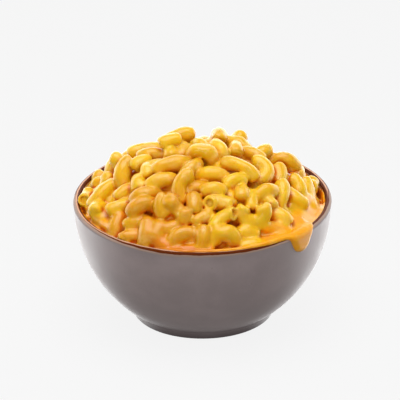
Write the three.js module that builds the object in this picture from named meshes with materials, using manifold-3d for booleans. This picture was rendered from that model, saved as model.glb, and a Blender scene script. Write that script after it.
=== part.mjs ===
// Mac and cheese: elbow macaroni in cheese sauce, heaped in the stoneware bowl that holds it.
// Millimetres, +Z up. The origin is the middle of the foot ring's underside. The sauce runs over
// the lip on the side of +X and -Y. Azimuths are measured from +X towards +Y.
import * as THREE from 'three';
import { mergeVertices } from 'three/addons/utils/BufferGeometryUtils.js';
import Module from 'manifold-3d';

const wasm = await Module();
wasm.setup();

// ---- Driving dimensions ------------------------------------------------------------------------

const GAP = 0.3; // between pieces that touch
const ROUND_STEPS = 36; // facets round the bowl and round the heap

// Bowl: the wall is a quarter ellipse from the lip to the foot.
const WALL_RADIUS = 74.5;
const WALL_DEPTH = 78.4;
const WALL_CENTRE_Z = 69.2;
const LIP_CENTRE = new THREE.Vector2(73, 69.4);
const LIP_HALF_THICKNESS = 2;
const WALL_THICKNESS = 4;
const BASE_THICKNESS = 6.5;
const INSIDE_TURN = 50; // degrees down the ellipse where the wall turns into the inner floor
const FLOOR_Z = 10;
const FLOOR_RADIUS = 26; // the inner floor is nearly flat out to here
const FLOOR_RISE = 0.8;
const FOOT_RADIUS = 41.1;
const FOOT_HEIGHT = 5;
const FOOT_RING_WIDTH = 4;
const FOOT_RECESS = 1.6;
const FOOT_SLOPE = 2; // width of the slope from the foot ring into the recess
const FOOT_EDGE = 0.6; // bevel round the foot

// Heap: its outline over the radius, and how deep the closed core lies under the outermost pieces.
const HEAP_FOOT_Z = 69.2;
const HEAP_RISE = 36;
const HEAP_RADIUS = 69.5;
const HEAP_POWER = 2.4;
const HEAP_LIMIT = 1.05; // share of the radius past which the outline runs level
const SLUMP = 8; // how much lower the heap is at the back
const SLUMP_END = 40; // y at which it is that much lower
const SLUMP_FADE = [50, 69]; // radii between which the slump fades out towards the lip
const SLOPE_REACH = 2; // distance over which the outline's slope is taken
const CORE_DEPTH = 6.5;

// Elbow macaroni.
const ELBOW_RADIUS = 4.1;
const BORE_RADIUS = 1.9;
const BORE_DEPTH = 2.5;
const MOUTH_DOME = 0.4; // an open end stands this far out round its bore
const END_DOME = 1.7;
const ELBOW_SIDES = 6;
const STEP_LENGTH = 7.3;
const SEAT_DEPTH = 4; // a piece's middle lies this far under the heap's outline

// Pieces that the rule adds where the placed ones leave room.
const SPIRAL_STEPS = 520;
const SPIRAL_RADIUS = 66;
const TRIES = 10;
const CHAIN_POINTS = 5;
const SPACING = 7.4; // between centre lines, before two pieces count as crowded
const WALL_REACH = 64.9; // radius past which a centre line below the lip counts as crowded
const WALL_WEIGHT = 4;
const CROWD_LIMIT = 3;
const TILTS = [-20, 20]; // ranges of the random draws
const ROLLS = [-90, 90];
const LIFTS = [-0.8, 0.7];
const LENGTHS = [11, 17];
const BENDS = [7, 12];
const SEED = 20;

// Cheese sauce: a crescent along the inside of the lip, with one drip over it. Azimuths and turns
// round the lip are in degrees.
const SAUCE_FROM = -168;
const SAUCE_TO = 0;
const SAUCE_FOOT_RADIUS = 69.2; // outer end of the bed that lies on the macaroni
const SAUCE_EDGE = 1; // thickness at the inner edge
const SAUCE_FILM = 0.8; // thickness on the lip
const SAUCE_SWELL = 0.8; // more of it where the sauce covers the lip
const LIP_TURN = 25; // how far the crescent climbs round the lip
const COVER_TURN = 100; // how much farther it goes where it covers the lip
const COVER_FROM = [-76, -58];
const COVER_TO = [-33, -28];
const FRONT_TURN = 60; // and where it only reaches the lip's top, before the covered part
const FRONT_FROM = [-112, -100];
const DRIP_AZIMUTH = -41;
const DRIP_HALF_WIDTH = 6.5;
const DRIP_TURN = 55;
const DRIP_LENGTH = 11.2; // down the wall
const DRIP_THICKNESS = 2.6;
const DRIP_CLEARANCE = 2.6; // added at the drip's steep sides
const DRIP_STATIONS = [0.15, 0.45, 0.7, 0.86, 0.96, 1.05, 1.13, 1.22, 1.35, 1.6]; // in half widths

// Placed elbows: x, y, lift over the usual seat, turn about Z, tilt of the chord, roll about the
// chord (0 arches up, 180 hangs, 90 bulges to the front), length and bend radius of the centre
// line, and 1 where the end at the chord's start is open, 2 for the other end, 3 for both.
const PLACED = [
  [-47.5, 4.5, 2.5, -30, -65, 0, 14, 9, 0],
  [-45, -6.5, 1, 75, 50, -70, 18, 12, 0],
  [-52, 11, 0.5, 80, 50, -90, 14, 10, 0],
  [-61, 28, -1, 90, 40, -90, 13, 10, 0],
  [-64.5, 26, -1, 45, 20, 0, 15, 10, 0],
  [-55.5, -13, 1.5, 38, 30, 20, 18, 18, 0],
  [-66.5, 0, 3.5, 75, 0, 180, 12, 12, 1],
  [-60.5, -22.5, 4.5, 75, -15, 0, 9, 12, 0],
  [-42.5, -22, -1, 35, 10, 0, 12, 9, 0],
  [-47, -30.5, 0, 15, 10, 10, 12, 12, 0],
  [-54.5, -27, -1, 25, 15, 0, 12, 12, 0],
  [-31.5, 19, 3, 8, 0, 0, 20, 20, 0],
  [-38.5, 26, 3.5, 0, 0, 0, 12, 8, 0],
  [-35, -4, 1, 30, 10, 0, 9, 9, 0],
  [-27.5, 4.5, 0, 0, 0, 20, 13, 10, 0],
  [-19.5, 2.5, -0.5, 90, 0, 0, 10, 9, 0],
  [-12.5, 4.5, 0, 90, 10, 0, 10, 9, 0],
  [-17, 6, 4.5, 20, 10, 0, 9, 11, 0],
  [-12.5, 13, 5.5, 15, 14, 0, 15, 14, 0],
  [-17.5, -17.5, 1.5, 10, 8, 0, 19, 16, 0],
  [-26.5, -6, -1, 10, 0, 0, 12, 8, 0],
  [-31, -15.5, 0.5, 90, 10, 0, 8, 9, 0],
  [-22.5, -29, 0.5, 10, 10, 10, 14, 9, 0],
  [-11.5, -36.5, 2.5, 62, 50, -60, 20, 11, 0],
  [-8.5, -22, 0, 50, 15, 30, 14, 9, 0],
  [1, -11.5, 3, -12, -20, 15, 21, 5.6, 0],
  [9.5, 13, 5.5, 90, -10, 0, 10, 10, 0],
  [4, 13, 0, 60, 0, 0, 15, 11, 0],
  [18.5, 18, 4.5, 60, 30, 0, 9, 9, 0],
  [22, 11, 1.5, 150, 10, 0, 14, 9, 0],
  [20, 0, 1.5, 90, 0, 0, 9, 10, 0],
  [10.5, -3, 2, -60, -25, 0, 11, 7, 2],
  [21.5, -21, 3, -28, -15, 0, 21, 20, 0],
  [29, 6, 0.5, 150, 0, 0, 14, 8, 0],
  [34.5, -14, 0.5, 90, 30, 90, 21, 6.5, 0],
  [34.5, 7, 3, 40, 10, 0, 7.5, 10, 0],
  [46.5, 8, 4, 0, -6, 0, 19, 8, 0],
  [56, 17, 2, 90, 10, 0, 10, 10, 0],
  [63, 14, 1, 80, 0, 180, 10, 12, 1],
  [54.5, -8.5, 0, 105, 45, 70, 14, 9, 0],
  [59.5, 0, -1, 80, 30, 90, 12, 9, 0],
  [43.5, -26, 1.5, 75, 40, 60, 14, 8, 0],
  [33.5, -32, 1, 30, 20, 0, 15, 6, 0],
  [44.5, -6, -1.5, 90, 30, 90, 12, 9, 0],
  [-49, -38.5, 0, 70, 40, 0, 11, 9, 0],
  [-36.5, -45, 0, 10, 0, 20, 13, 9, 0],
  [-40, -50, -1, 10, 0, 0, 12, 9, 0],
  [-31.5, -33, 0.5, 10, 0, 10, 17, 8, 0],
  [-32.5, -41, 2, 15, 8, 0, 18, 8, 0],
  [-23.5, -45.5, 1.5, 90, 50, -90, 12, 8, 0],
  [-12.5, -47, 2, -40, -35, -140, 17, 8, 0],
  [-4, -46.5, 1.5, 90, 30, 0, 9, 9, 0],
  [-31.5, -54, 1.5, 80, 50, 0, 15, 9, 0],
  [-24.5, -53.5, 1, 70, 20, 0, 10, 9, 0],
  [-9.5, -59, 1, 15, 8, 10, 15, 10, 0],
  [-15, -53.5, -1, 10, 0, 0, 13, 9, 0],
  [-34.5, -23.5, 0.5, 90, 10, 0, 9, 9, 0],
  [5.5, -26.5, -0.5, -5, 0, 10, 19, 10, 0],
  [-3, -37.5, -1.5, 20, 10, 0, 12, 8, 0],
  [5.5, -37, -0.5, 0, 0, 0, 11, 9, 0],
  [16.5, -40, 1.5, -25, -15, 0, 14, 8, 0],
  [22, -37.5, 0.5, 90, 0, 0, 9, 9, 0],
  [13, -44, 1.5, 10, -12, -100, 15, 9, 1],
  [10.5, -54.5, 2.5, 25, 28, -90, 15, 10, 2],
  [27.5, -48, 2.5, 5, 0, 165, 24, 6, 0],
  [28.5, -39, 0, 90, 20, 0, 10, 9, 0],
  [18.5, -30.5, 0, 30, 0, 0, 11, 8, 0],
  [1, -61.5, 1.5, 80, 60, 0, 12, 8, 0],
  [12.5, -59, 1.5, 0, -8, 0, 18, 5.6, 0],
  [24, -56.5, 0, 5, 0, 0, 12, 9, 0],
  [24, -61, 0.5, 5, 5, 0, 13, 9, 2],
  [-0.5, -53, -0.5, 30, 0, 0, 13, 9, 0],
  [43, -39.5, 0.5, -25, -10, 10, 11, 7, 1],
  [37.5, -35, 0, -60, 0, 0, 9, 9, 0],
];

// ---- Small helpers -----------------------------------------------------------------------------

const radians = THREE.MathUtils.degToRad;
const degrees = THREE.MathUtils.radToDeg;
const { lerp, smoothstep } = THREE.MathUtils;
const point = (r, z) => new THREE.Vector2(r, z);

// The same stretch from 0 to 1 as `count` even steps.
const steps = (count) => Array.from({ length: count + 1 }, (_, i) => i / count);

// Turns a closed three.js geometry into a manifold solid, without the facets that a pole flattens.
function solid(geometry) {
  const bare = geometry.clone();
  bare.deleteAttribute('normal');
  bare.deleteAttribute('uv');
  const merged = mergeVertices(bare, 1e-4);
  const index = merged.index.array;
  const outward = [];
  const inward = [];
  for (let i = 0; i < index.length; i += 3) {
    const [a, b, c] = [index[i], index[i + 1], index[i + 2]];
    if (a === b || b === c || c === a) continue;
    outward.push(a, b, c);
    inward.push(a, c, b);
  }
  const vertProperties = Float32Array.from(merged.attributes.position.array);
  const [body, mirrored] = [outward, inward].map((list) => {
    const triVerts = Uint32Array.from(list);
    return new wasm.Manifold(new wasm.Mesh({ numProp: 3, vertProperties, triVerts }));
  });
  return body.volume() > 0 ? body : mirrored;
}

function geometryOf(manifold) {
  const { vertProperties, triVerts, numProp } = manifold.getMesh();
  const positions = new Float32Array((vertProperties.length / numProp) * 3);
  for (let v = 0; v < positions.length / 3; v += 1) {
    for (let axis = 0; axis < 3; axis += 1) positions[v * 3 + axis] = vertProperties[v * numProp + axis];
  }
  const geometry = new THREE.BufferGeometry();
  geometry.setAttribute('position', new THREE.BufferAttribute(positions, 3));
  geometry.setIndex(new THREE.BufferAttribute(Uint32Array.from(triVerts), 1));
  geometry.computeVertexNormals();
  return geometry;
}

// A profile of (radius, z) points turned about Z, as a solid. `reshape` gives a point its final z.
function turned(profile, reshape = (x, y, z) => z) {
  const geometry = new THREE.LatheGeometry(profile, ROUND_STEPS);
  geometry.rotateX(Math.PI / 2);
  const position = geometry.attributes.position;
  for (let i = 0; i < position.count; i += 1) {
    position.setZ(i, reshape(position.getX(i), position.getY(i), position.getZ(i)));
  }
  return solid(geometry);
}

// ---- Bowl --------------------------------------------------------------------------------------

// A point on the outside of the wall, `turn` degrees down its ellipse.
function outsideWall(turn, grow) {
  const out = (WALL_RADIUS + grow) * Math.cos(radians(turn));
  return point(out, WALL_CENTRE_Z - (WALL_DEPTH + grow) * Math.sin(radians(turn)));
}

// A point inside the wall, `gap` clear of it.
function insideWall(turn, gap) {
  const angle = radians(turn);
  const inset = lerp(WALL_THICKNESS, BASE_THICKNESS, turn / INSIDE_TURN) + gap;
  const across = point(Math.cos(angle) / WALL_RADIUS, -Math.sin(angle) / WALL_DEPTH).normalize();
  return outsideWall(turn, 0).addScaledVector(across, -inset);
}

// A point round the lip: 0 degrees is its inner side, 90 its top and 180 its outer side.
function roundLip(turn, grow) {
  const angle = radians(180 - turn);
  const reach = LIP_HALF_THICKNESS + grow;
  return point(LIP_CENTRE.x + reach * Math.cos(angle), LIP_CENTRE.y + reach * Math.sin(angle));
}

// The inner floor from its edge to its middle, `gap` above it.
function innerFloor(gap) {
  return [point(FLOOR_RADIUS, FLOOR_Z + FLOOR_RISE + gap), point(0, FLOOR_Z + gap)];
}

const FOOT_TURN = degrees(Math.asin((WALL_CENTRE_Z - FOOT_HEIGHT) / WALL_DEPTH));
const OUTSIDE_TURNS = steps(7).map((s) => lerp(FOOT_TURN, 3, s));
const LIP_TURNS = [195, 150, 110, 70, 30, -15];
const INSIDE_TURNS = steps(4).map((s) => lerp(5, INSIDE_TURN, s));

// The bowl's profile; `grow` makes all but its foot larger.
function bowlProfile(grow) {
  const ringInside = FOOT_RADIUS - FOOT_RING_WIDTH;
  const foot = [
    point(0, FOOT_RECESS),
    point(ringInside - FOOT_SLOPE, FOOT_RECESS),
    point(ringInside, 0),
    point(FOOT_RADIUS - FOOT_EDGE, 0),
    point(FOOT_RADIUS, FOOT_EDGE),
    point(FOOT_RADIUS, FOOT_HEIGHT - 1),
  ];
  const outside = OUTSIDE_TURNS.map((turn) => outsideWall(turn, grow));
  const lip = LIP_TURNS.map((turn) => roundLip(turn, grow));
  const inside = INSIDE_TURNS.map((turn) => insideWall(turn, grow));
  return [...foot, ...outside, ...lip, ...inside, ...innerFloor(grow)];
}

// ---- Heap of macaroni --------------------------------------------------------------------------

function dome(rho) {
  return HEAP_FOOT_Z + HEAP_RISE * (1 - Math.min(rho / HEAP_RADIUS, HEAP_LIMIT) ** HEAP_POWER);
}

function slump(x, y) {
  return SLUMP * smoothstep(y, 0, SLUMP_END) * (1 - smoothstep(Math.hypot(x, y), ...SLUMP_FADE));
}

const heapTop = (x, y) => dome(Math.hypot(x, y)) - slump(x, y);
const coreTop = (rho) => dome(rho) - CORE_DEPTH;

// The slope of the heap's outline along a heading, in degrees.
function heapSlope(x, y, heading) {
  const aheadX = x + SLOPE_REACH * Math.cos(radians(heading));
  const aheadY = y + SLOPE_REACH * Math.sin(radians(heading));
  return degrees(Math.atan((heapTop(aheadX, aheadY) - heapTop(x, y)) / SLOPE_REACH));
}

function core() {
  const floor = innerFloor(GAP).reverse();
  const wall = INSIDE_TURNS.map((turn) => insideWall(turn, GAP)).reverse();
  const edge = wall[wall.length - 1];
  const rings = [0, 18, 36, 54, 72].map((turn) => edge.x * Math.cos(radians(turn)));
  const crown = [...rings, 0].map((rho) => point(rho, coreTop(rho)));
  return turned([...floor, ...wall, ...crown], (x, y, z) => (z > edge.y ? z - slump(x, y) : z));
}

// A row of numbers as a named piece, with its place in the heap as a matrix.
function elbow([x, y, lift, turn, tilt, roll, length, bend, open]) {
  const z = heapTop(x, y) - SEAT_DEPTH + lift;
  const matrix = new THREE.Matrix4().makeTranslation(x, y, z)
    .multiply(new THREE.Matrix4().makeRotationZ(radians(turn)))
    .multiply(new THREE.Matrix4().makeRotationY(-radians(tilt)))
    .multiply(new THREE.Matrix4().makeRotationX(radians(roll)));
  return { matrix, length, bend, open };
}

// A place at a distance along a piece's centre line, from its middle, and beside that line.
function alongElbow({ length, bend }, distance, side, up) {
  const angle = distance / bend;
  const middle = Math.sin(length / bend / 2) / (length / bend / 2);
  const reach = bend + up;
  return new THREE.Vector3(reach * Math.sin(angle), side, reach * Math.cos(angle) - bend * middle);
}

// Evenly spaced points on a piece's centre line.
function chain(piece) {
  return steps(CHAIN_POINTS - 1).map((s) => {
    return alongElbow(piece, (s - 0.5) * piece.length, 0, 0).applyMatrix4(piece.matrix);
  });
}

// The end of a piece, from its skin inwards, as (radius, distance along the piece).
function endProfile(half, isOpen) {
  const closed = [[ELBOW_RADIUS, half], [0, half + END_DOME]];
  const mouth = [[ELBOW_RADIUS, half], [BORE_RADIUS, half + MOUTH_DOME]];
  const bore = [[BORE_RADIUS, half - BORE_DEPTH], [0, half - BORE_DEPTH]];
  return isOpen ? [...mouth, ...bore] : closed;
}

// A straight closed tube, bent along the piece's centre line.
function elbowSolid(piece) {
  const half = piece.length / 2;
  const start = endProfile(half, piece.open & 1).map(([r, along]) => point(r, -along)).reverse();
  const end = endProfile(half, piece.open & 2).map(([r, along]) => point(r, along));
  const between = steps(Math.round(piece.length / STEP_LENGTH)).slice(1, -1);
  const middle = between.map((s) => point(ELBOW_RADIUS, lerp(-half, half, s)));
  const geometry = new THREE.LatheGeometry([...start, ...middle, ...end], ELBOW_SIDES);
  const position = geometry.attributes.position;
  for (let i = 0; i < position.count; i += 1) {
    const bent = alongElbow(piece, position.getY(i), -position.getX(i), position.getZ(i));
    position.setXYZ(i, ...bent.applyMatrix4(piece.matrix).toArray());
  }
  return solid(geometry);
}

// ---- Pieces that fill the heap -----------------------------------------------------------------

function randomSource(seed) {
  let state = seed;
  return () => {
    state = (Math.imul(state, 1664525) + 1013904223) >>> 0;
    return state / 4294967296;
  };
}

// How far a piece sinks into the others and into the bowl, in millimetres.
function crowding(points, others) {
  let sum = 0;
  for (const p of points) {
    const rho = Math.hypot(p.x, p.y);
    if (p.z < LIP_CENTRE.y + ELBOW_RADIUS) sum += WALL_WEIGHT * Math.max(0, rho - WALL_REACH);
    for (const q of others) sum += Math.max(0, SPACING - p.distanceTo(q));
  }
  return sum;
}

// Visits a sunflower spiral from the top down, and keeps the least crowded of a few random poses.
function fillers(placed) {
  const random = randomSource(SEED);
  const others = placed.flatMap(chain);
  const added = [];
  const golden = 180 * (3 - Math.sqrt(5));
  for (let i = 0; i < SPIRAL_STEPS; i += 1) {
    const rho = SPIRAL_RADIUS * Math.sqrt((i + 0.5) / SPIRAL_STEPS);
    const x = rho * Math.cos(radians(i * golden));
    const y = rho * Math.sin(radians(i * golden));
    let best = { crowd: Infinity };
    for (let n = 0; n < TRIES; n += 1) {
      const turn = 360 * random();
      const tilt = heapSlope(x, y, turn) + lerp(...TILTS, random());
      const roll = lerp(...ROLLS, random()) - heapSlope(x, y, turn + 90);
      const lift = lerp(...LIFTS, random());
      const length = lerp(...LENGTHS, random());
      const piece = elbow([x, y, lift, turn, tilt, roll, length, lerp(...BENDS, random()), 0]);
      const points = chain(piece);
      const crowd = crowding(points, others);
      if (crowd < best.crowd) best = { crowd, piece, points };
    }
    if (best.crowd < CROWD_LIMIT) {
      added.push(best.piece);
      others.push(...best.points);
    }
  }
  return added;
}

// ---- Cheese sauce ------------------------------------------------------------------------------

// Where the sauce starts on the heap: azimuth and radius.
const SHORE = [
  [-168, 68.6],
  [-150, 63.5],
  [-120, 65.5],
  [-90, 64.5],
  [-65, 62],
  [-42, 61.5],
  [-25, 56],
  [-10, 60],
  [0, 68.6],
];

function shore(azimuth) {
  const found = SHORE.findIndex(([a]) => a >= azimuth);
  const after = found < 0 ? SHORE.length - 1 : Math.max(1, found);
  const [a0, r0] = SHORE[after - 1];
  const [a1, r1] = SHORE[after];
  return lerp(r0, r1, smoothstep(azimuth, a0, a1));
}

const dripLobe = (azimuth) => Math.exp(-(((azimuth - DRIP_AZIMUTH) / DRIP_HALF_WIDTH) ** 4));
const turnOfDrop = (drop) => degrees(drop / LIP_HALF_THICKNESS);

// How far the sauce turns round the lip. A turn past 180 goes on down the wall.
function sauceTurn(azimuth) {
  const cover = smoothstep(azimuth, ...COVER_FROM) * (1 - smoothstep(azimuth, ...COVER_TO));
  const front = smoothstep(azimuth, ...FRONT_FROM) * (1 - smoothstep(azimuth, ...COVER_FROM));
  const onLip = LIP_TURN + COVER_TURN * cover + FRONT_TURN * front;
  return onLip + dripLobe(azimuth) * (DRIP_TURN + turnOfDrop(DRIP_LENGTH));
}

// Shares the points of a section out over its turn, with enough of them round the lip.
function turnAt(whole, share) {
  const lipEnd = 200;
  if (whole <= lipEnd) return whole * share;
  return share <= 2 / 3 ? 1.5 * lipEnd * share : lerp(lipEnd, whole, 3 * share - 2);
}

// A point over the lip or the wall below it; the wall meets the lip with a little more room.
function overLip(turn, grow) {
  if (turn <= 180) return roundLip(turn, grow);
  const drop = LIP_HALF_THICKNESS * radians(turn - 180);
  const start = LIP_CENTRE.y - WALL_CENTRE_Z;
  return outsideWall(degrees(Math.asin((drop - start) / WALL_DEPTH)), grow + 0.5 * Math.exp(-drop / 2));
}

// The sauce's cross-section at an azimuth, as a closed loop of (radius, z) points. `grow` makes it
// larger, and much deeper where it lies on the macaroni.
function sauceSection(azimuth, grow) {
  const inner = shore(azimuth) - grow;
  const whole = sauceTurn(azimuth);
  const lobe = dripLobe(azimuth);
  const clearance = 2 * GAP + DRIP_CLEARANCE * lobe * (1 - lobe);
  const bed = [0, 0.5, 1].map((s) => {
    const r = lerp(inner, SAUCE_FOOT_RADIUS, s);
    return point(r, coreTop(r) + GAP - 10 * grow);
  });
  const underLip = steps(6).map((s) => overLip(turnAt(whole, s), clearance - grow));
  const firstTurn = 50 * smoothstep(whole, 30, 100);
  const swell = SAUCE_SWELL * smoothstep(whole, 30, 120);
  const top = steps(6).map((s) => {
    const turn = Math.max(firstTurn * (1 + s), turnAt(whole, s));
    const bulge = DRIP_THICKNESS * lobe * smoothstep(turn, 60, 260) * Math.sqrt(1 - 0.75 * s ** 4);
    const film = SAUCE_FILM + swell * (1 - 0.6 * s);
    return overLip(turn, clearance + film + bulge + grow).add(point(0, grow));
  });
  const edge = point(inner, coreTop(inner) + GAP + SAUCE_EDGE + 2 * grow);
  const pool = [0, 1 / 3, 2 / 3].map((s) => edge.clone().lerp(top[0], s));
  return [...bed, ...underLip, ...top.reverse(), ...pool.reverse()];
}

// Azimuths of the sections, closer together where the drip hangs.
function sauceAzimuths(grow) {
  const left = steps(14).map((s) => lerp(SAUCE_FROM - 2 * grow, -54, s));
  const before = [...DRIP_STATIONS].reverse().map((s) => DRIP_AZIMUTH - s * DRIP_HALF_WIDTH);
  const after = DRIP_STATIONS.map((s) => DRIP_AZIMUTH + s * DRIP_HALF_WIDTH);
  const right = steps(4).map((s) => lerp(-25, SAUCE_TO + 2 * grow, s));
  return [...left, ...before, ...after, ...right];
}

// Skins a row of loops and closes both ends with a fan, as one solid.
function loft(loops) {
  const count = loops[0].length;
  const vertices = loops.flat();
  const triangles = [];
  for (let i = 0; i + 1 < loops.length; i += 1) {
    for (let k = 0; k < count; k += 1) {
      const [a, b] = [i * count + k, i * count + ((k + 1) % count)];
      triangles.push(a, b, b + count, a, b + count, a + count);
    }
  }
  for (const [first, isStart] of [[0, true], [(loops.length - 1) * count, false]]) {
    const hub = vertices.length;
    const loop = vertices.slice(first, first + count);
    vertices.push(loop.reduce((sum, v) => sum.add(v), new THREE.Vector3()).divideScalar(count));
    for (let k = 0; k < count; k += 1) {
      const [a, b] = [first + k, first + ((k + 1) % count)];
      if (isStart) triangles.push(hub, b, a);
      else triangles.push(hub, a, b);
    }
  }
  const geometry = new THREE.BufferGeometry().setFromPoints(vertices);
  geometry.setIndex(triangles);
  return solid(geometry);
}

function sauce(grow) {
  return loft(sauceAzimuths(grow).map((azimuth) => {
    const [across, along] = [Math.cos(radians(azimuth)), Math.sin(radians(azimuth))];
    return sauceSection(azimuth, grow).map(({ x, y }) => new THREE.Vector3(x * across, x * along, y));
  }));
}

// ---- Assembly ----------------------------------------------------------------------------------

function heap() {
  const placed = PLACED.map(elbow);
  const pieces = [...placed, ...fillers(placed)].map(elbowSolid);
  const room = turned(bowlProfile(2 * GAP));
  const joined = wasm.Manifold.union(pieces).subtract(room).subtract(sauce(GAP));
  const bodies = core().add(joined).decompose();
  return bodies.reduce((largest, body) => (body.volume() > largest.volume() ? body : largest));
}

function piece(name, manifold, color, roughness) {
  const material = new THREE.MeshStandardMaterial({ color, roughness, metalness: 0 });
  const mesh = new THREE.Mesh(geometryOf(manifold), material);
  mesh.name = name;
  return mesh;
}

const group = new THREE.Group();
group.add(piece('bowl', turned(bowlProfile(0)), 0x746a69, 0.45));
group.add(piece('macaroni', heap(), 0xf0b93c, 0.4));
group.add(piece('cheese_sauce', sauce(0), 0xf5ae45, 0.3));

export default group;
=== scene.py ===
"""Mac and cheese in its bowl. Geometry is worked out in millimetres, meshes are in metres."""

import math

import bpy
import numpy as np
from mathutils import Matrix, Vector


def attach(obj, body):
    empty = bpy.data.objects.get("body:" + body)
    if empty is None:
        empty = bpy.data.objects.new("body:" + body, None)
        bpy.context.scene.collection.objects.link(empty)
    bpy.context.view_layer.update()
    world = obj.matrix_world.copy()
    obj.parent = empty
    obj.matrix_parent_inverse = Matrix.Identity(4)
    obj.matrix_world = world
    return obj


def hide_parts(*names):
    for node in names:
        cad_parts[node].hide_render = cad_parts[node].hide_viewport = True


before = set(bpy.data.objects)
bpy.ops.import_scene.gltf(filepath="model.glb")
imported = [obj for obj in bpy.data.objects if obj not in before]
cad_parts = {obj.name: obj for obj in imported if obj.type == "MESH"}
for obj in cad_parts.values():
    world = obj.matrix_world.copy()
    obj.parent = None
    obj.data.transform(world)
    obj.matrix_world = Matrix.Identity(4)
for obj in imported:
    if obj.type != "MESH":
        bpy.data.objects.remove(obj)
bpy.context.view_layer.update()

MM = 0.001
FAR = 9.0  # stands for any distance in millimetres that is too far to matter

# ---- Sizes shared with the solids ----

WALL_RADIUS, WALL_DEPTH, WALL_CENTRE_Z = 74.5, 78.4, 69.2
LIP_R, LIP_Z, LIP_HALF = 73.0, 69.4, 1.92
WALL_THICKNESS, BASE_THICKNESS, INSIDE_TURN = 4.0, 6.5, 50.0
FLOOR_Z, FLOOR_RADIUS, FLOOR_RISE = 10.0, 26.0, 0.8
FOOT_RADIUS, FOOT_HEIGHT, FOOT_RING, FOOT_RECESS = 41.1, 5.0, 4.0, 1.6
HEAP_FOOT_Z, HEAP_RISE, HEAP_RADIUS, HEAP_POWER, HEAP_LIMIT = 69.2, 36.0, 69.5, 2.4, 1.05
SLUMP, SLUMP_END, SLUMP_FADE = 8.0, 40.0, (50, 69)
ELBOW_RADIUS, SEAT_DEPTH = 4.1, 4.0
CREST_Z, CREST_ROOM = 107.2, 2.7
DRIP_AZIMUTH = -41.0
LIP_FOOT_Z = LIP_Z - 1.6  # below this height the bowl's inside is the plain wall

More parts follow.
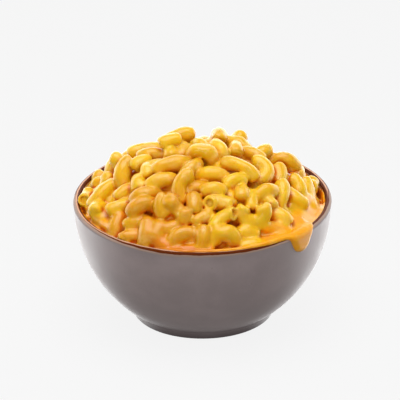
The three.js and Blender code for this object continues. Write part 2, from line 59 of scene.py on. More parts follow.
# x, y, lift, turn, tilt, roll, length, bend radius, open ends (1 start, 2 end, 3 both)
PLACED = [
    (-47.5, 4.5, 2.5, -30, -65, 0, 14, 9, 0),
    (-45, -6.5, 1, 75, 50, -70, 18, 12, 0),
    (-52, 11, 0.5, 80, 50, -90, 14, 10, 0),
    (-61, 28, -1, 90, 40, -90, 13, 10, 0),
    (-64.5, 26, -1, 45, 20, 0, 15, 10, 0),
    (-55.5, -13, 1.5, 38, 30, 20, 18, 18, 0),
    (-66.5, 0, 3.5, 75, 0, 180, 12, 12, 1),
    (-60.5, -22.5, 4.5, 75, -15, 0, 9, 12, 0),
    (-42.5, -22, -1, 35, 10, 0, 12, 9, 0),
    (-47, -30.5, 0, 15, 10, 10, 12, 12, 0),
    (-54.5, -27, -1, 25, 15, 0, 12, 12, 0),
    (-31.5, 19, 3, 8, 0, 0, 20, 20, 0),
    (-38.5, 26, 3.5, 0, 0, 0, 12, 8, 0),
    (-35, -4, 1, 30, 10, 0, 9, 9, 0),
    (-27.5, 4.5, 0, 0, 0, 20, 13, 10, 0),
    (-19.5, 2.5, -0.5, 90, 0, 0, 10, 9, 0),
    (-12.5, 4.5, 0, 90, 10, 0, 10, 9, 0),
    (-17, 6, 4.5, 20, 10, 0, 9, 11, 0),
    (-12.5, 13, 5.5, 15, 14, 0, 15, 14, 0),
    (-17.5, -17.5, 1.5, 10, 8, 0, 19, 16, 0),
    (-26.5, -6, -1, 10, 0, 0, 12, 8, 0),
    (-31, -15.5, 0.5, 90, 10, 0, 8, 9, 0),
    (-22.5, -29, 0.5, 10, 10, 10, 14, 9, 0),
    (-11.5, -36.5, 2.5, 62, 50, -60, 20, 11, 0),
    (-8.5, -22, 0, 50, 15, 30, 14, 9, 0),
    (1, -11.5, 3, -12, -20, 15, 21, 5.6, 0),
    (9.5, 13, 5.5, 90, -10, 0, 10, 10, 0),
    (4, 13, 0, 60, 0, 0, 15, 11, 0),
    (18.5, 18, 4.5, 60, 30, 0, 9, 9, 0),
    (22, 11, 1.5, 150, 10, 0, 14, 9, 0),
    (20, 0, 1.5, 90, 0, 0, 9, 10, 0),
    (10.5, -3, 2, -60, -25, 0, 11, 7, 2),
    (21.5, -21, 3, -28, -15, 0, 21, 20, 0),
    (29, 6, 0.5, 150, 0, 0, 14, 8, 0),
    (34.5, -14, 0.5, 90, 30, 90, 21, 6.5, 0),
    (34.5, 7, 3, 40, 10, 0, 7.5, 10, 0),
    (46.5, 8, 4, 0, -6, 0, 19, 8, 0),
    (56, 17, 2, 90, 10, 0, 10, 10, 0),
    (63, 14, 1, 80, 0, 180, 10, 12, 1),
    (54.5, -8.5, 0, 105, 45, 70, 14, 9, 0),
    (59.5, 0, -1, 80, 30, 90, 12, 9, 0),
    (43.5, -26, 1.5, 75, 40, 60, 14, 8, 0),
    (33.5, -32, 1, 30, 20, 0, 15, 6, 0),
    (44.5, -6, -1.5, 90, 30, 90, 12, 9, 0),
    (-49, -38.5, 0, 70, 40, 0, 11, 9, 0),
    (-36.5, -45, 0, 10, 0, 20, 13, 9, 0),
    (-40, -50, -1, 10, 0, 0, 12, 9, 0),
    (-31.5, -33, 0.5, 10, 0, 10, 17, 8, 0),
    (-32.5, -41, 2, 15, 8, 0, 18, 8, 0),
    (-23.5, -45.5, 1.5, 90, 50, -90, 12, 8, 0),
    (-12.5, -47, 2, -40, -35, -140, 17, 8, 0),
    (-4, -46.5, 1.5, 90, 30, 0, 9, 9, 0),
    (-31.5, -54, 1.5, 80, 50, 0, 15, 9, 0),
    (-24.5, -53.5, 1, 70, 20, 0, 10, 9, 0),
    (-9.5, -59, 1, 15, 8, 10, 15, 10, 0),
    (-15, -53.5, -1, 10, 0, 0, 13, 9, 0),
    (-34.5, -23.5, 0.5, 90, 10, 0, 9, 9, 0),
    (5.5, -26.5, -0.5, -5, 0, 10, 19, 10, 0),
    (-3, -37.5, -1.5, 20, 10, 0, 12, 8, 0),
    (5.5, -37, -0.5, 0, 0, 0, 11, 9, 0),
    (16.5, -40, 1.5, -25, -15, 0, 14, 8, 0),
    (22, -37.5, 0.5, 90, 0, 0, 9, 9, 0),
    (13, -44, 1.5, 10, -12, -100, 15, 9, 1),
    (10.5, -54.5, 2.5, 25, 28, -90, 15, 10, 2),
    (27.5, -48, 2.5, 5, 0, 165, 24, 6, 0),
    (28.5, -39, 0, 90, 20, 0, 10, 9, 0),
    (18.5, -30.5, 0, 30, 0, 0, 11, 8, 0),
    (1, -61.5, 1.5, 80, 60, 0, 12, 8, 0),
    (12.5, -59, 1.5, 0, -8, 0, 18, 5.6, 0),
    (24, -56.5, 0, 5, 0, 0, 12, 9, 0),
    (24, -61, 0.5, 5, 5, 0, 13, 9, 2),
    (-0.5, -53, -0.5, 30, 0, 0, 13, 9, 0),
    (43, -39.5, 0.5, -25, -10, 10, 11, 7, 1),
    (37.5, -35, 0, -60, 0, 0, 9, 9, 0),
]

# Pieces of the list with a paler and with a deeper coat.
PALE = (0, 7, 9, 13, 21, 31, 39, 40, 45, 49, 50, 51, 56, 62, 63, 66, 72)
DEEP = (10, 26, 30, 36, 44, 52, 53)

# ---- Small helpers ----


def rotation(axis, turn):
    """Matrix that turns by degrees about axis 0, 1 or 2."""
    a, i, j = math.radians(turn), (axis + 1) % 3, (axis + 2) % 3
    m = np.eye(3)
    m[i, i] = m[j, j] = math.cos(a)
    m[i, j], m[j, i] = -math.sin(a), math.sin(a)
    return m


def under_top(z):
    """Presses what reaches above the heap's highest point softly back under it."""
    return np.where(z > CREST_Z, CREST_Z + CREST_ROOM * np.tanh((z - CREST_Z) / CREST_ROOM), z)


def step(x, lo, hi):
    """Smooth step from 0 at lo to 1 at hi."""
    t = np.clip((x - lo) / (hi - lo), 0, 1)
    return t * t * (3 - 2 * t)


def mix(a, b, t):
    return a + (b - a) * t


def smin(a, b, k):
    """Smooth minimum: blends two distances over a width of k."""
    h = np.maximum(k - np.abs(a - b), 0) / k
    return np.minimum(a, b) - h * h * k * 0.25


def between(x, start, full, fade, end):
    """Smooth step up from start to full, and down again from fade to end."""
    return step(x, start, full) * (1 - step(x, fade, end))


def waves(p, size, seed):
    """Smooth noise about -1 to 1, made of a few crossing waves. size is its feature size in mm."""
    rng = np.random.default_rng(seed)
    total = 0
    for _ in range(7):
        d = rng.normal(size=3)
        d *= (2 * math.pi / size) * rng.uniform(0.6, 1.3) / np.linalg.norm(d)
        shift = rng.uniform(0, 6.3)
        total = total + np.sin(p[..., 0] * d[0] + p[..., 1] * d[1] + p[..., 2] * d[2] + shift)
    return total / 3.2


def add_object(name, data):
    obj = bpy.data.objects.new(name, data)
    bpy.context.scene.collection.objects.link(obj)
    return obj


def mesh_object(name, verts, faces, smooth=True):
    """An object from points in millimetres."""
    mesh = bpy.data.meshes.new(name)
    mesh.from_pydata((np.asarray(verts) * MM).tolist(), [], [list(map(int, f)) for f in faces])
    mesh.update()
    if smooth:
        mesh.polygons.foreach_set("use_smooth", [True] * len(mesh.polygons))
    return add_object(name, mesh)


def add_values(obj, name, values):
    layer = obj.data.attributes.new(name, "FLOAT", "POINT")
    layer.data.foreach_set("value", np.asarray(values, np.float32))


def tube_faces(rings, sides):
    """Faces over rings of points, with a point before the first and one after the last."""
    pairs = [(k, (k + 1) % sides) for k in range(sides)]
    faces = [(0, 1 + n, 1 + k) for k, n in pairs]
    for i in range(rings - 1):
        a = 1 + i * sides
        faces += [(a + k, a + n, a + sides + n, a + sides + k) for k, n in pairs]
    a, top = 1 + (rings - 1) * sides, 1 + rings * sides
    faces += [(top, a + k, a + n) for k, n in pairs]
    return faces


def arc(centre_r, centre_z, size, turns):
    """Points on a circle at turns in degrees, as rows of (radius, height or distance along)."""
    a = np.radians(turns)
    return np.stack([centre_r + size * np.cos(a), centre_z + size * np.sin(a)], -1)


# ---- Heap outline and elbows ----

SLOPE_REACH = 2  # distance over which the outline's slope is taken
TRIES, FILLER_LENGTH, FILLER_BEND = 10, (11, 17), (7, 12)
WALL_WEIGHT = 4  # how much worse it is to stand in the wall than in another elbow

# The elbows that a rule adds: between the placed ones, and under all. lifts and tilts are against
# the outline, spacing is the room asked for, limit the crowding let through, reach the radius
# that they keep to near the lip.
BETWEEN_RULE = {"seed": 20, "count": 520, "radius": 66, "lifts": (-0.8, 0.7), "tilts": (-20, 20),
                "spacing": 7.4, "limit": 3, "reach": 64.9}
UNDER_RULE = {"seed": 41, "count": 700, "radius": 67.5, "lifts": (-8.5, -5.5), "tilts": (-30, 30),
              "spacing": 6.4, "limit": 12, "reach": 66.5}


def dome(rho):
    return HEAP_FOOT_Z + HEAP_RISE * (1 - np.minimum(rho / HEAP_RADIUS, HEAP_LIMIT) ** HEAP_POWER)


def heap_top(x, y):
    """The heap's outline: a dome that is lower at the back, but not along the lip."""
    rho = np.hypot(x, y)
    return dome(rho) - SLUMP * step(y, 0, SLUMP_END) * (1 - step(rho, *SLUMP_FADE))


def heap_slope(x, y, heading):
    """The outline's slope towards a heading, in degrees."""
    h = math.radians(heading)
    rise = heap_top(x + SLOPE_REACH * math.cos(h), y + SLOPE_REACH * math.sin(h)) - heap_top(x, y)
    return math.degrees(math.atan(rise / SLOPE_REACH))


def elbow(row):
    x, y, lift, turn, tilt, roll, length, bend, mouths = row
    spin = rotation(2, turn) @ rotation(1, -tilt) @ rotation(0, roll)
    z = heap_top(x, y) - SEAT_DEPTH + lift
    return {"spin": spin, "at": np.array([x, y, z]), "length": length, "bend": bend, "mouths": mouths}


def along(piece, s, side, up):
    """Local place at a distance s along the centre line, and beside it, as rows of points."""
    bend = piece["bend"]
    h = piece["length"] / bend / 2
    reach, a = bend + up, s / bend
    return np.stack([reach * np.sin(a), side + 0 * a, reach * np.cos(a) - bend * math.sin(h) / h], -1)


def placed_points(piece, local):
    return local @ piece["spin"].T + piece["at"]


def chain(piece, count=5):
    """Points along the piece's centre line."""
    s = np.linspace(-0.5, 0.5, count) * piece["length"]
    return placed_points(piece, along(piece, s, 0, 0))


def random_source(seed):
    """The same plain random numbers as the solids use."""
    state = [seed]

    def draw():
        state[0] = (state[0] * 1664525 + 1013904223) % 4294967296
        return state[0] / 4294967296

    return draw


def crowding(points, others, spacing, reach):
    """How far a piece stands in the room of others, and in the bowl's wall."""
    rho = np.hypot(points[:, 0], points[:, 1])
    low = points[:, 2] < LIP_Z + ELBOW_RADIUS
    wall = WALL_WEIGHT * np.maximum(0, rho - reach)[low].sum()
    gaps = np.linalg.norm(points[:, None] - others[None], axis=2)
    return wall + np.maximum(0, spacing - gaps).sum()


def fillers(others, seed, count, radius, lifts, tilts, spacing, limit, reach):
    """Keeps the least crowded of a few random poses at each place of a spiral, as the solids do."""
    draw = random_source(seed)
    others = np.concatenate([chain(p) for p in others])
    added = []
    golden = 180 * (3 - math.sqrt(5))
    for i in range(count):
        rho = radius * math.sqrt((i + 0.5) / count)
        a = math.radians(i * golden)
        x, y = rho * math.cos(a), rho * math.sin(a)
        best = (math.inf, None, None)
        for _ in range(TRIES):
            turn = 360 * draw()
            tilt = heap_slope(x, y, turn) + mix(*tilts, draw())
            roll = mix(-90, 90, draw()) - heap_slope(x, y, turn + 90)
            lift = mix(*lifts, draw())
            length = mix(*FILLER_LENGTH, draw())
            piece = elbow([x, y, lift, turn, tilt, roll, length, mix(*FILLER_BEND, draw()), 0])
            points = chain(piece)
            crowd = crowding(points, others, spacing, reach)
            if crowd < best[0]:
                best = (crowd, piece, points)
        if best[0] < limit:
            added.append(best[1])
            others = np.concatenate([others, best[2]])
    return added


# ---- Bowl profile ----

# The foot ring's outer side: how far out of the foot's radius, and height.
FOOT_LINE = ((-1.4, 0), (-0.5, 0.12), (-0.1, 0.6), (0, 1.4), (0, 2.8), (0.1, 3.9), (0.6, 4.7))
FLOOR_STEPS = 5  # points in each span of the inner floor's curve


def outside_wall(turn):
    a = np.radians(turn)
    return np.stack([WALL_RADIUS * np.cos(a), WALL_CENTRE_Z - WALL_DEPTH * np.sin(a)], -1)


def inside_wall(turn):
    a = np.radians(turn)
    inset = mix(WALL_THICKNESS, BASE_THICKNESS, turn / INSIDE_TURN)
    n = np.stack([np.cos(a) / WALL_RADIUS, -np.sin(a) / WALL_DEPTH], -1)
    n /= np.linalg.norm(n, axis=-1, keepdims=True)
    return outside_wall(turn) - n * inset[..., None]


def smooth_line(points, per_span):
    """A curve through points (Catmull-Rom), with per_span steps between each two."""
    p = np.asarray(points, float)
    p = np.concatenate([[2 * p[0] - p[1]], p, [2 * p[-1] - p[-2]]])
    out = []
    for i in range(1, len(p) - 2):
        a, b, c, d = p[i - 1], p[i], p[i + 1], p[i + 2]
        bow, rest = 2 * a - 5 * b + 4 * c - d, 3 * b - a - 3 * c + d
        for t in np.linspace(0, 1, per_span, endpoint=False):
            out.append(0.5 * (2 * b + (c - a) * t + bow * t**2 + rest * t**3))
    out.append(p[-2])
    return np.array(out)


def bowl_profile():
    """The bowl's (radius, z) line from under its middle over the lip to its inner middle."""
    ring = FOOT_RADIUS - FOOT_RING
    under = [[r, FOOT_RECESS] for r in (0, 12, 24, ring - 3)]
    under += [[ring - 2, FOOT_RECESS - 0.1], [ring - 0.8, 0.7], [ring - 0.2, 0.1], [ring + 0.6, 0]]
    under += [[FOOT_RADIUS + r, z] for r, z in FOOT_LINE]
    foot_turn = math.degrees(math.asin((WALL_CENTRE_Z - FOOT_HEIGHT) / WALL_DEPTH))
    outside = outside_wall(np.linspace(foot_turn - 1.2, 3, 40))
    lip = arc(LIP_R, LIP_Z, LIP_HALF, np.linspace(-18, 198, 28))
    inside = inside_wall(np.linspace(5, INSIDE_TURN, 20))
    middle = [[FLOOR_RADIUS, FLOOR_Z + FLOOR_RISE], [FLOOR_RADIUS / 2, FLOOR_Z + 0.2], [0, FLOOR_Z]]
    floor = smooth_line([*inside[-2:], *middle], FLOOR_STEPS)[FLOOR_STEPS:]
    return np.concatenate([under, outside, lip, inside, floor[1:]])


PROFILE = bowl_profile()
INNER = inside_wall(np.linspace(4.2, INSIDE_TURN, 60))[::-1]


def inner_radius(z):
    """The radius of the bowl's inside at a height below the lip."""
    return np.interp(z, INNER[:, 1], INNER[:, 0])


def outer_radius(z):
    return WALL_RADIUS * np.sqrt(np.clip(1 - ((WALL_CENTRE_Z - z) / WALL_DEPTH) ** 2, 0, 1))


def clear_of_bowl(p, gap):
    """Moves points that lie in the bowl's wall or lip back out of it."""
    rho = np.maximum(np.hypot(p[:, 0], p[:, 1]), 1e-6)
    new_rho, new_z = rho.copy(), p[:, 2].copy()
    wall = p[:, 2] < LIP_FOOT_Z
    new_rho[wall] = np.minimum(rho, inner_radius(p[:, 2]) - gap)[wall]
    away = np.stack([rho - LIP_R, p[:, 2] - LIP_Z], -1)
    size = np.maximum(np.linalg.norm(away, axis=1), 1e-6)
    lip = ~wall & (size < LIP_HALF + gap)
    push = (LIP_HALF + gap) / size
    new_rho[lip] = (LIP_R + away[:, 0] * push)[lip]
    new_z[lip] = (LIP_Z + away[:, 1] * push)[lip]
    return np.stack([p[:, 0] * new_rho / rho, p[:, 1] * new_rho / rho, new_z], -1)


# ---- Elbow meshes ----

SIDES, RING_STEP = 14, 1.9  # points round an elbow, and about how far apart its rings are
CAP, END_ROUND = 1.35, 2.3  # how far a closed end reaches past the centre line's, and its rounding
MOUTH_ROUND, BORE = 0.95, 2.1  # an open end: its rim's rounding, and the radius of the bore
WOBBLE, WOBBLE_RATE = 0.05, 0.45  # share by which an elbow's thickness varies, and radians per mm
SLANT = 0.12  # how askew its ends are cut


def end_line(radius, half, is_open):
    """From the skin to the axis: rows of (radius, distance along)."""
    if is_open:
        rim = arc(radius - MOUTH_ROUND, half - 0.35, MOUTH_ROUND, [0, 30, 65, 100, 140, 180])
        bore = [[BORE, half - 0.25], [BORE * 0.8, half - 0.5], [BORE * 0.45, half - 0.45], [0, half - 0.35]]
        return np.concatenate([rim, bore])
    cap = arc(radius - END_ROUND, half + CAP - END_ROUND, END_ROUND, [0, 22, 45, 66, 84])
    return np.concatenate([cap, [[0, half + CAP + 0.15]]])


def elbow_mesh(piece):
    """Points and faces of one elbow, as a closed skin."""
    half, radius, phase = piece["length"] / 2, piece["radius"], piece["phase"]
    start = end_line(radius, half, piece["mouths"] & 1) * [1, -1]
    end = end_line(radius, half, piece["mouths"] & 2)
    inner = np.linspace(start[0, 1], end[0, 1], max(3, round(piece["length"] / RING_STEP)) + 1)[1:-1]
    wobble = 1 + WOBBLE * np.sin(inner * WOBBLE_RATE + phase)
    line = np.concatenate([start[::-1], np.stack([radius * wobble, inner], -1), end])
    turns = np.linspace(0, 2 * math.pi, SIDES, endpoint=False) + phase
    r, s = line[:, 0][:, None], line[:, 1][:, None]
    slant = SLANT * np.sin(phase) * np.cos(turns)[None] * r * np.sign(s)
    slant = slant * step(np.abs(s), half * 0.6, half)
    points = along(piece, s + slant, r * piece["flat"] * np.cos(turns), r * np.sin(turns))
    verts = placed_points(piece, points.reshape(-1, 3))
    first, last = verts[:SIDES].mean(0), verts[-SIDES:].mean(0)
    verts = np.concatenate([[first], verts[SIDES:-SIDES], [last]])
    verts[:, 2] = under_top(verts[:, 2])
    return clear_of_bowl(verts, 0.15), tube_faces(len(line) - 2, SIDES)


def elbow_distance(piece, p):
    """Signed distance from points to a closed elbow with rounded ends."""
    q = (p - piece["at"]) @ piece["spin"]
    bend, h = piece["bend"], piece["length"] / piece["bend"] / 2
    qx, qy, qz = q[..., 0], q[..., 1], q[..., 2] + bend * math.sin(h) / h
    ring, turn = np.hypot(qx, qz), np.arctan2(qx, qz)
    beyond = np.abs(turn) - h
    ends = np.maximum(beyond, 0)
    radial = np.hypot(np.where(beyond > 0, ring * np.cos(ends) - bend, ring - bend), qy / piece["flat"])
    s = np.where(beyond > -1.2, ring * np.sin(np.maximum(beyond, -1.2)), -FAR)
    radius = piece["radius"] * (1 + WOBBLE * np.sin(turn * bend * WOBBLE_RATE + piece["phase"]))
    wr, ws = radial - radius + END_ROUND, s - CAP + END_ROUND
    return np.minimum(np.maximum(wr, ws), 0) + np.hypot(np.maximum(wr, 0), np.maximum(ws, 0)) - END_ROUND


# ---- Sauce ----

# The pool's inner edge, as azimuth and radius, and the drip's outline on the wall: along and down.
SHORE = np.array([[-168, 68.6], [-150, 63.5], [-120, 65.5], [-90, 64.5], [-65, 62],
                  [-42, 61.5], [-25, 56], [-10, 60], [0, 68.6]])
DRIP = np.array([[-10.5, -2.5], [-9.6, 0], [-8.3, 2.2], [-6.9, 4.8], [-5.6, 7.2], [-3.9, 8.9], [-1.4, 9.8],
                 [1.1, 9.8], [3.5, 8.8], [5.5, 6.8], [7.2, 4], [8.6, 1], [9.6, -2.5]])

# Azimuths for between(): the pool, where it is lower, the film over the lip's top, the film that
# covers the lip, and the thicker coat along the rim.
POOL_SPAN, LOW_SPAN = (-172, -160, -8, 0), (-170, -140, -90, -62)
FRONT_SPAN, COVER_SPAN = (-112, -100, -76, -58), (-76, -58, -33, -28)
RIM_SPAN = (-175, -155, -12, 8)

# Thicker sauce: x and y of both ends, depth under the heap's outline, radius
MOUNDS = [
    (-31, -50.5, -30, -56, 3, 4.6),
    (-24, -54, -25, -58, 3.4, 4.2),
    (-28, -57, -20, -63, 3.6, 4.4),
    (-60, -26, -51, -41, 3.5, 3.6),
    (-66.5, 6, -64, -19, 4.5, 3),
    (-14, -66, 4, -67, 2.5, 2.8),
    (36, -49, 46, -45, 4, 4),
    (60.5, 5, 63, -12, 6, 4.2),
    (56, -20, 59, -10, 5.5, 3.6),
]
MOUND_BLEND = 2.2  # how softly they run into the coat

POOL_DEPTH = 5.1  # how deep under the heap's outline the pool meets its shore
POOL_RADIUS, POOL_LIFT = (69.6, 0.7), (0.1, 3.0)  # where it meets the lip, and more where it covers it
POOL_FADE, POOL_LOW, POOL_WAVES = 3, 1.6, 0.6  # how far it sinks at its ends and at the left, its waves
POOL_EDGE = 72.4  # radius at which the pool ends and the film begins
FILM, FILM_COVER = 1.15, 0.45  # the film's thickness, and more where it covers the lip
FILM_END = 1.6  # how far inside the glaze it ends
DRIP_BULK, DRIP_ROUND = (2.1, 0.5), 3.4  # how thick the drip is, how much thicker low down, its edge
FILM_BLEND, DRIP_BLEND, CORE_BLEND, POOL_BLEND = 1.6, 1.4, 1.5, 1.8  # how softly they join the rest
COLLAR_Z, COLLAR_RADIUS = LIP_Z - 6, 74.4  # the wall under the lip that the drip lies on

# The grid of the sauce.
GRID_LOW, GRID_HIGH, VOXEL = np.array([-77.0, -77.0, 55.0]), np.array([77.0, 77.0, 113.5]), 0.85
NO_PIECE = 12  # the grid's distance to the macaroni where none is near
CORNERS = [(x, y, z) for x in (0, 1) for y in (0, 1) for z in (0, 1)]

CORE_DEPTH, CORE_CROWN, CORE_RIM = 11, 2.6, 3.2  # depth of the core, and less at the crown and the rim
BOTTOM_DEPTH, LIP_BOTTOM = 13.5, LIP_Z - 11.7  # where the sauce ends under the heap and at the lip

# Points deeper than these are merged over cells: in the hidden underside, and in deep gaps.
HIDDEN_DEPTH, HIDDEN_CELL = 12.5, 6.0
DEEP_DEPTH, DEEP_CELL = 8.2, 2.3 * VOXEL

# The painted shade in the gaps: how far in front of a point the room is measured, and what each counts.
GAP_SHADE_PROBES = ((1.5, 0.3), (3.0, 0.3), (5.0, 0.25), (8.0, 0.15))


def shore(az):
    return np.interp(az, SHORE[:, 0], SHORE[:, 1])


def sauce_turn(az):
    """How far the sauce goes round the lip, in degrees from its inner side."""
    drip = np.exp(-(((az - DRIP_AZIMUTH) / 7.5) ** 4))
    plain = 25 - 18 * step(-az, 125, 150)
    return plain + 105 * between(az, *COVER_SPAN) + 84 * between(az, *FRONT_SPAN) + 60 * drip


def inside_outline(u, v, outline):
    """Signed distance in the plane to a closed outline, negative inside."""
    best, inside = np.full(u.shape, 1e9), np.zeros(u.shape, bool)
    for (x0, y0), (x1, y1) in zip(outline, np.roll(outline, -1, 0)):
        dx, dy = x1 - x0, y1 - y0
        t = np.clip(((u - x0) * dx + (v - y0) * dy) / (dx * dx + dy * dy), 0, 1)
        best = np.minimum(best, np.hypot(u - x0 - t * dx, v - y0 - t * dy))
        crosses = (y0 > v) != (y1 > v)
        inside ^= crosses & (u < dx * (v - y0) / (dy if dy else 1e-9) + x0)
    return np.where(inside, -best, best)


def pool_inside(p, rho, az, z, present, cover):
    """The pool inside the lip: about the distance to it, and negative in it."""
    sh = shore(az)
    edge_z = dome(sh) - POOL_DEPTH
    lip_r = POOL_RADIUS[0] + POOL_RADIUS[1] * cover
    lip_z = LIP_Z + POOL_LIFT[0] + POOL_LIFT[1] * cover
    share = np.clip((rho - sh) / (lip_r - sh + 1e-6), -1, 1.4)
    low = POOL_FADE * (1 - present) + POOL_LOW * between(az, *LOW_SPAN)
    surface = edge_z + (lip_z - edge_z) * share + POOL_WAVES * waves(p * [1, 1, 0], 13, 5) - low
    pool = np.maximum(z - surface, (sh - rho) * 0.8)
    return np.maximum(pool, rho - POOL_EDGE)


def film_field(p, rho, az, z, present, cover):
    """The film round the lip."""
    turn = np.degrees(np.arctan2(z - LIP_Z, LIP_R - rho))
    turn = np.where(turn < -90, turn + 360, turn)
    whole = sauce_turn(az) + 6 * waves(p * [1, 1, 0], 14, 9)
    thickness = mix(-FILM_END, FILM + FILM_COVER * cover, step(whole - turn, -14, 22))
    film = np.hypot(rho - LIP_R, z - LIP_Z) - LIP_HALF - (thickness - FILM_END * (1 - present))
    return np.where(turn < -35, FAR, film)


def drip_field(rho, az, z):
    """The drip on the outside of the wall."""
    u = np.radians(az - DRIP_AZIMUTH) * WALL_RADIUS
    near = (np.abs(u) < 18) & (z > LIP_Z - 16) & (z < LIP_Z + 6) & (rho > 68)
    drip = np.full(z.shape, FAR)
    un, vn, rn, zn = u[near], (LIP_Z - z)[near], rho[near], z[near]
    flat = inside_outline(un, vn, DRIP)
    collar = np.where(zn > COLLAR_Z, COLLAR_RADIUS + 0.5 * step(zn, COLLAR_Z, LIP_Z), 0)
    out = rn - np.maximum(outer_radius(zn), collar)
    bulk = DRIP_BULK[0] + DRIP_BULK[1] * step(vn, 2, 8)
    body = np.hypot(np.maximum(flat + DRIP_ROUND, 0) / DRIP_ROUND, np.maximum(out, 0) / bulk)
    drip[near] = np.maximum((body - 1) * bulk, -out - 2.0)
    return drip


def pool_field(p):
    """Pool, film and drip in one field."""
    rho, az = np.hypot(p[..., 0], p[..., 1]), np.degrees(np.arctan2(p[..., 1], p[..., 0]))
    z, present, cover = p[..., 2], between(az, *POOL_SPAN), between(az, *COVER_SPAN)
    pool = pool_inside(p, rho, az, z, present, cover)
    film = film_field(p, rho, az, z, present, cover)
    return smin(smin(pool, film, FILM_BLEND), drip_field(rho, az, z), DRIP_BLEND)


def grid_box(points, room, spare=1):
    """The part of the grid that lies within room of points, and spare cells more at its far end."""
    a = ((np.min(points, 0) - room - GRID_LOW) / VOXEL).astype(int)
    b = ((np.max(points, 0) + room - GRID_LOW) / VOXEL).astype(int) + spare
    return tuple(slice(max(i, 0), max(j, 0)) for i, j in zip(a, b))


def coat_pieces(pieces, grid, blend):
    """(coat round the pieces, distance to the nearest one, that one's tone), on the grid."""
    hard = np.full(grid.shape[:3], NO_PIECE, np.float32)
    soft, tone = hard.copy(), np.full(grid.shape[:3], 0.5, np.float32)
    for piece in pieces:
        box = grid_box(chain(piece), 9)
        d = elbow_distance(piece, grid[box]).astype(np.float32)
        tone[box] = np.where(d < hard[box], piece["tone"], tone[box])
        hard[box] = np.minimum(hard[box], d)
        soft[box] = smin(soft[box], d, blend[box])
    return soft, hard, tone


def from_segment(p, a, b):
    """Distance from points to the line between a and b."""
    q, way = p - a, b - a
    t = np.clip((q @ way) / (way @ way), 0, 1)
    return np.linalg.norm(q - t[..., None] * way, axis=-1)


def add_mounds(soft, grid):
    """Lays the thicker places over the coat."""
    for x0, y0, x1, y1, deep, radius in MOUNDS:
        a = np.array([x0, y0, heap_top(x0, y0) - deep])
        b = np.array([x1, y1, heap_top(x1, y1) - deep])
        box = grid_box([a, b], radius + 4, spare=0)
        mound = from_segment(grid[box], a, b) - radius
        soft[box] = smin(soft[box], mound.astype(np.float32), MOUND_BLEND)


def open_mouths(field, pieces, grid):
    """Clears the sauce out of the open ends."""
    mouths = [(p, sign) for p in pieces for bit, sign in ((1, -1), (2, 1)) if p["mouths"] & bit]
    for piece, sign in mouths:
        s = sign * (piece["length"] / 2 + np.array([0.4, 3.5]))
        ends = placed_points(piece, along(piece, s, 0, 0))
        box = grid_box(ends, 5)
        hole = from_segment(grid[box], *ends) - BORE - 0.2
        field[box] = np.maximum(field[box], -hole)


def sauce_field(pieces):
    """Samples the sauce on the grid: (field, distance to the bare macaroni, tone of the nearest piece)."""
    axes = [np.arange(a, b, VOXEL, dtype=np.float32) for a, b in zip(GRID_LOW, GRID_HIGH)]
    grid = np.stack(np.meshgrid(*axes, indexing="ij"), -1)
    rho = np.hypot(grid[..., 0], grid[..., 1])
    az = np.degrees(np.arctan2(grid[..., 1], grid[..., 0]))
    rim, crown = step(rho, 50, 65) * between(az, *RIM_SPAN), 1 - step(rho, 22, 48)
    patch, uneven = waves(grid, 26, 3), waves(grid, 9, 11)
    # How widely the coat bridges two elbows, and how far they come through it.
    blend = (1.2 + 0.6 * rim + 0.3 * patch + 0.4 * crown).astype(np.float32)
    bare = (0.2 * patch + 0.25 * uneven - 0.3 * rim * step(patch, -0.6, 0.8)).astype(np.float32)
    soft, hard, tone = coat_pieces(pieces, grid, blend)
    add_mounds(soft, grid)
    top = heap_top(grid[..., 0], grid[..., 1])
    core = (grid[..., 2] - (top - CORE_DEPTH + CORE_CROWN * crown + CORE_RIM * rim)) * 0.8
    field = smin(soft, core, CORE_BLEND) + bare
    wall = rho - (inner_radius(np.minimum(grid[..., 2], LIP_Z - 2.2)) + 0.5)
    field = np.maximum(field, wall)
    low = grid[..., 2] < LIP_Z + 12
    pool = np.full(rho.shape, FAR, np.float32)
    pool[low] = pool_field(grid[low])
    field = smin(field, pool, POOL_BLEND)
    open_mouths(field, pieces, grid)
    bottom = np.where(rho > 69.5, LIP_BOTTOM, top - BOTTOM_DEPTH) - grid[..., 2]
    return np.maximum(field, bottom), hard, tone


def window(a, corner, shape):
    """The grid's values at one corner of every cell."""
    x, y, z = corner
    return a[x:x + shape[0], y:y + shape[1], z:z + shape[2]]


def net_points(field, shape):
    """(index of each cell's point, points): one in each cell that the zero level crosses."""
    total = sum(window(field < 0, o, shape).astype(np.int8) for o in CORNERS)
    mixed = (total > 0) & (total < 8)
    ids = np.full(mixed.shape, -1, np.int64)
    ids[mixed] = np.arange(mixed.sum())
    corner = {o: window(field, o, shape)[mixed] for o in CORNERS}
    place, hits = np.zeros((mixed.sum(), 3)), np.zeros(mixed.sum())
    edges = [(o, axis) for o in CORNERS for axis in range(3) if not o[axis]]
    for o, axis in edges:
        end = tuple(1 if i == axis else o[i] for i in range(3))
        fa, fb = corner[o], corner[end]
        cross = (fa < 0) != (fb < 0)
        place[cross] += o
        place[cross, axis] += fa[cross] / (fa[cross] - fb[cross])
        hits[cross] += 1
    return ids, (np.argwhere(mixed) + place / hits[:, None]) * VOXEL + GRID_LOW


